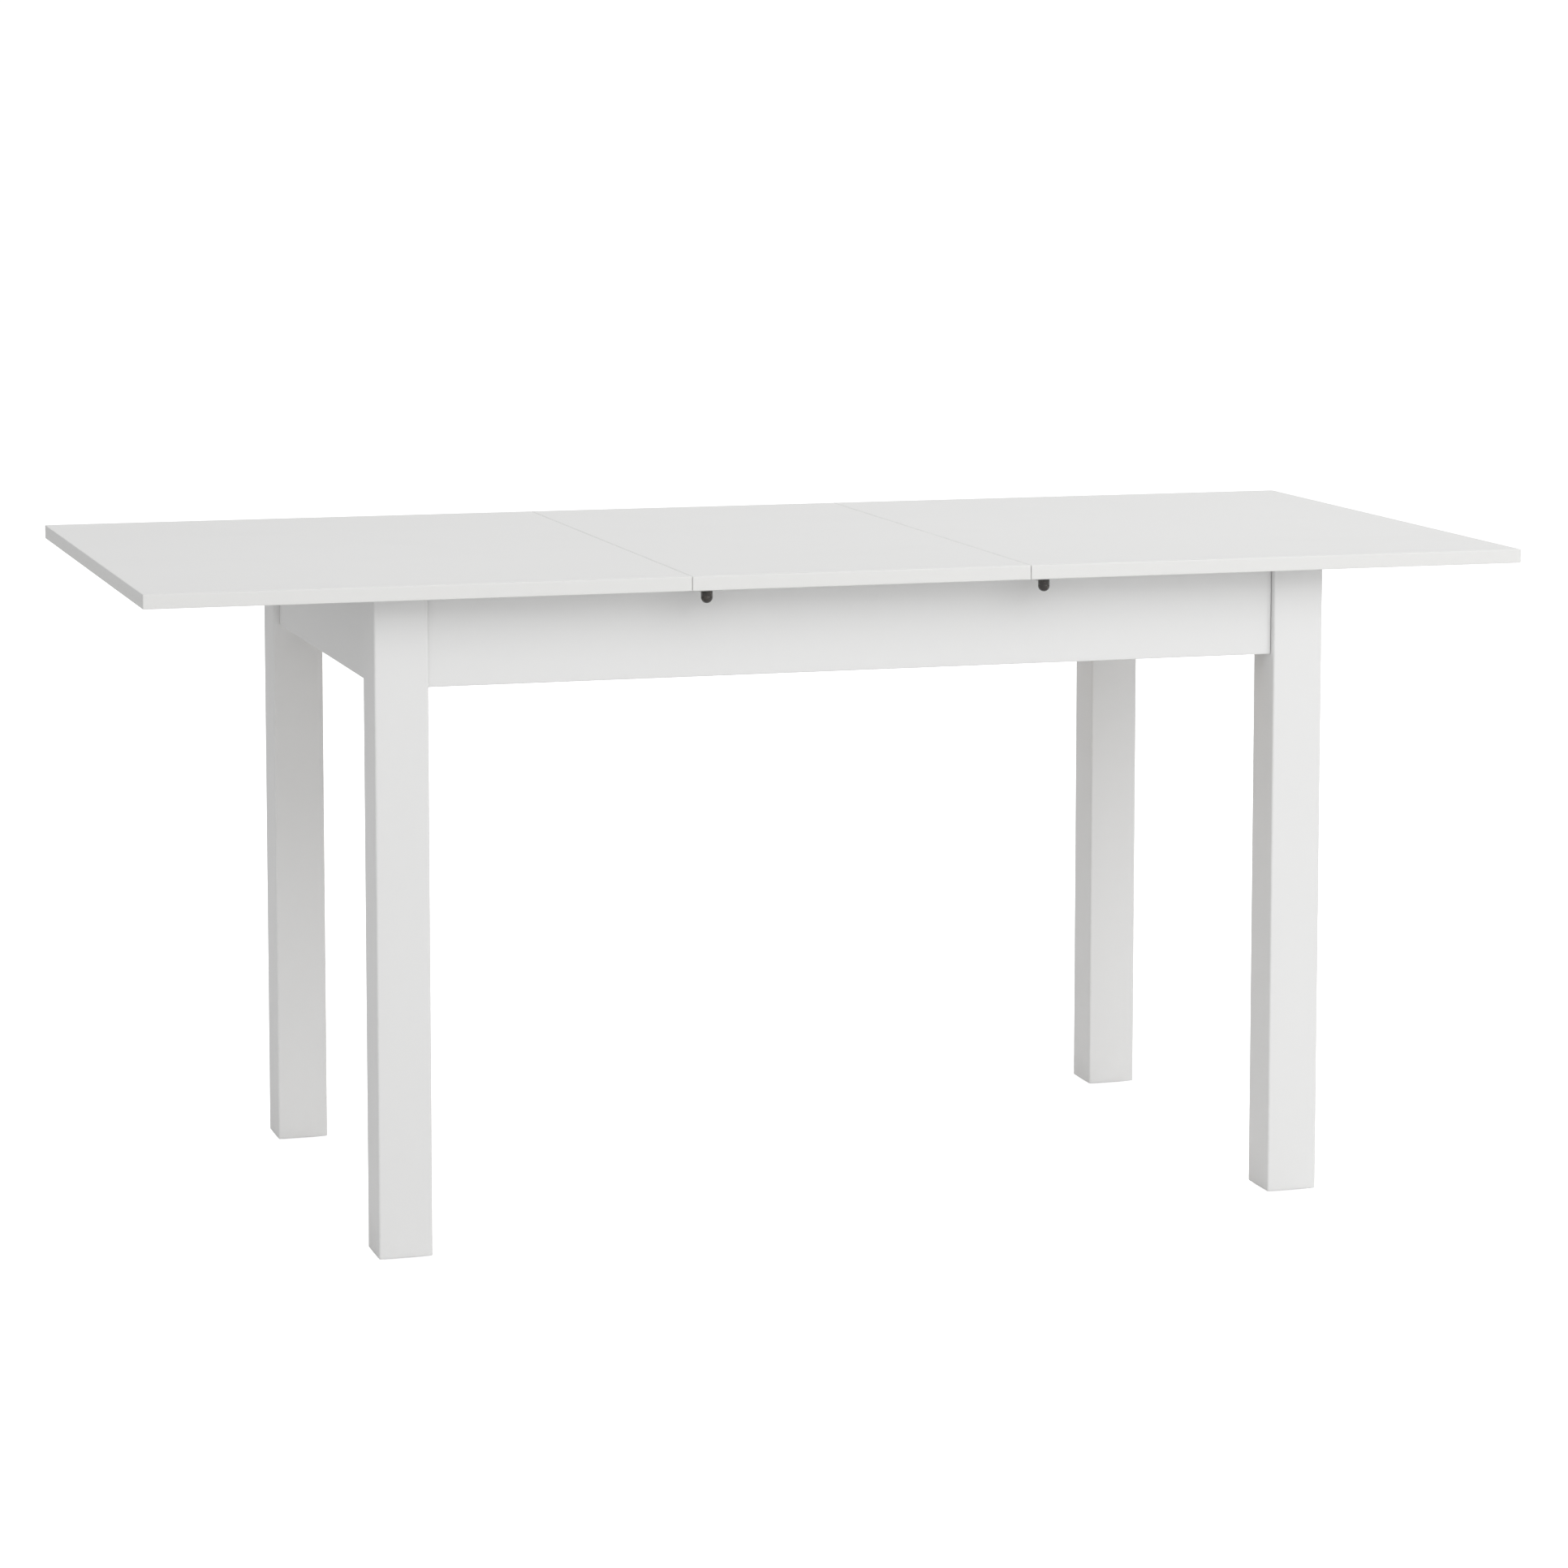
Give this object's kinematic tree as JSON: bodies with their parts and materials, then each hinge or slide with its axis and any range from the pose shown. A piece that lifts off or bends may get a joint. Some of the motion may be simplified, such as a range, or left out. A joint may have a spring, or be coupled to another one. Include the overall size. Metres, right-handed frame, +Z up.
{
  "type": "extendable dining table",
  "caption": "White rectangular dining table on square legs, drawn out with a loose middle leaf laid between two sliding halves held by turn catches.",
  "frame": {"origin": "on the floor, under the middle of the extended tabletop", "axes": "+X along the table to the right, +Y to the back, +Z up; the catches in view are at the front, -Y"},
  "size_m": [1.592, 0.75, 0.75],
  "materials": {
    "white_board": "satin white melamine-faced board with a matching edge band",
    "white_lacquer": "satin white lacquer on wood",
    "raw_pine": "planed pine, not lacquered",
    "zinc_steel": "bright zinc plated pressed steel",
    "dark_knob": "dark moulded knob with a soft gloss",
    "pale_nylon": "pale nylon, slightly worn where it slides"
  },
  "bodies": {
    "frame": {"leg_front_left": "white_lacquer", "foot_glide_front_left": "pale_nylon", "corner_brace_front_left": "zinc_steel", "leg_bolt_front_left": "zinc_steel", "leg_nut_front_left": "zinc_steel", "leg_front_right": "white_lacquer", "foot_glide_front_right": "pale_nylon", "corner_brace_front_right": "zinc_steel", "leg_bolt_front_right": "zinc_steel", "leg_nut_front_right": "zinc_steel", "leg_back_left": "white_lacquer", "foot_glide_back_left": "pale_nylon", "corner_brace_back_left": "zinc_steel", "leg_bolt_back_left": "zinc_steel", "leg_nut_back_left": "zinc_steel", "leg_back_right": "white_lacquer", "foot_glide_back_right": "pale_nylon", "corner_brace_back_right": "zinc_steel", "leg_bolt_back_right": "zinc_steel", "leg_nut_back_right": "zinc_steel", "apron_front": "white_lacquer", "guide_rail_front": "raw_pine", "slide_strip_front": "pale_nylon", "apron_back": "white_lacquer", "guide_rail_back": "raw_pine", "slide_strip_back": "pale_nylon", "apron_left": "white_lacquer", "slide_strip_left": "pale_nylon", "cross_rail_left": "raw_pine", "apron_right": "white_lacquer", "slide_strip_right": "pale_nylon", "cross_rail_right": "raw_pine"},
    "left_top": {"tabletop_left": "white_board", "runner_left_front": "raw_pine", "runner_left_back": "raw_pine", "keeper_left_front": "zinc_steel", "keeper_left_back": "zinc_steel"},
    "leaf": {"insert_leaf": "white_board", "catch_plate_leaf_front": "zinc_steel", "catch_plate_leaf_back": "zinc_steel", "keeper_leaf_front": "zinc_steel", "keeper_leaf_back": "zinc_steel"},
    "right_top": {"tabletop_right": "white_board", "runner_right_front": "raw_pine", "runner_right_back": "raw_pine", "catch_plate_right_front": "zinc_steel", "catch_plate_right_back": "zinc_steel"},
    "catch_leaf_front": {"catch_arm_leaf_front": "zinc_steel", "catch_knob_leaf_front": "dark_knob"},
    "catch_leaf_back": {"catch_arm_leaf_back": "zinc_steel", "catch_knob_leaf_back": "dark_knob"},
    "catch_right_front": {"catch_arm_right_front": "zinc_steel", "catch_knob_right_front": "dark_knob"},
    "catch_right_back": {"catch_arm_right_back": "zinc_steel", "catch_knob_right_back": "dark_knob"}
  },
  "joints": [
    {"name": "left_top_slide", "type": "slide", "parent": "frame", "child": "left_top", "axis": [-1, 0, 0], "range_m": [0, 0.015]},
    {"name": "right_top_slide", "type": "slide", "parent": "frame", "child": "right_top", "axis": [1, 0, 0], "range_m": [0, 0.043]},
    {"name": "leaf_lift", "type": "slide", "parent": "frame", "child": "leaf", "axis": [0, 0, 1], "range_m": [0, 0.25]},
    {"name": "catch_turn_leaf_front", "type": "hinge", "parent": "leaf", "child": "catch_leaf_front", "pos_m": [-0.176, -0.361, 0.731], "axis": [0, 0, 1], "range_deg": [0, 65]},
    {"name": "catch_turn_leaf_back", "type": "hinge", "parent": "leaf", "child": "catch_leaf_back", "pos_m": [-0.176, 0.361, 0.731], "axis": [0, 0, -1], "range_deg": [0, 65]},
    {"name": "catch_turn_right_front", "type": "hinge", "parent": "right_top", "child": "catch_right_front", "pos_m": [0.216, -0.361, 0.731], "axis": [0, 0, 1], "range_deg": [0, 65]},
    {"name": "catch_turn_right_back", "type": "hinge", "parent": "right_top", "child": "catch_right_back", "pos_m": [0.216, 0.361, 0.731], "axis": [0, 0, -1], "range_deg": [0, 65]}
  ]
}
